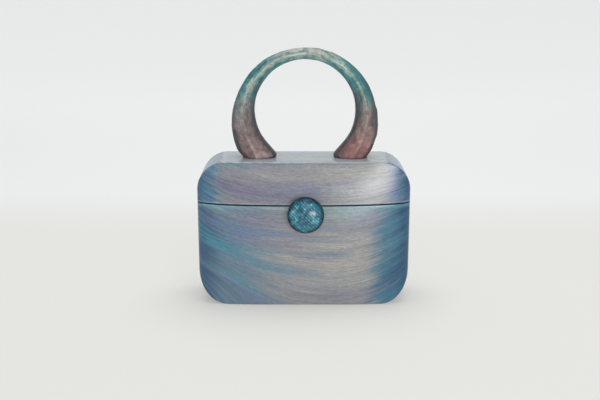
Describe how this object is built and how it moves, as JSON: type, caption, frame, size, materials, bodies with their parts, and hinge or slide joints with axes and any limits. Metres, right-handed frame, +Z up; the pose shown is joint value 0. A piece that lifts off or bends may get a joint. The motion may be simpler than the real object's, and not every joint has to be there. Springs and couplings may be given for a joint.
{
  "type": "wooden handbag",
  "caption": "Hollow wooden handbag with a pillowed front, a hinged lid, a carved ring handle on the lid and a domed knob over the seam that lifts it.",
  "frame": {"origin": "middle of the flat base, on the surface the bag stands on, under the middle of the edge band", "axes": "+Z up through the handle, -Y out of the front with the knob, +X to the right seen from the front"},
  "size_m": [0.2, 0.0857, 0.2382],
  "materials": {
    "dyed_wood_body": "dyed, satin lacquer",
    "dyed_wood_lid": "dyed, satin lacquer",
    "dyed_wood_handle": "knife-carved, dyed, waxed",
    "dyed_wood_knob": "turned, dyed, polished",
    "beech_dowel": "bare",
    "hinge_brass": "satin"
  },
  "bodies": {
    "base": {"body": "dyed_wood_body", "hinge_body_leaf_left": "hinge_brass", "hinge_body_leaf_right": "hinge_brass", "hinge_pin_left": "hinge_brass", "hinge_pin_right": "hinge_brass"},
    "cover": {"lid": "dyed_wood_lid", "handle": "dyed_wood_handle", "knob": "dyed_wood_knob", "knob_dowel": "beech_dowel", "hinge_lid_leaf_left": "hinge_brass", "hinge_lid_leaf_right": "hinge_brass"}
  },
  "joints": [
    {"name": "lid_hinge", "type": "hinge", "parent": "base", "child": "cover", "pos_m": [0, 0.032, 0.0978], "axis": [-1, 0, 0], "range_deg": [0, 100]}
  ]
}
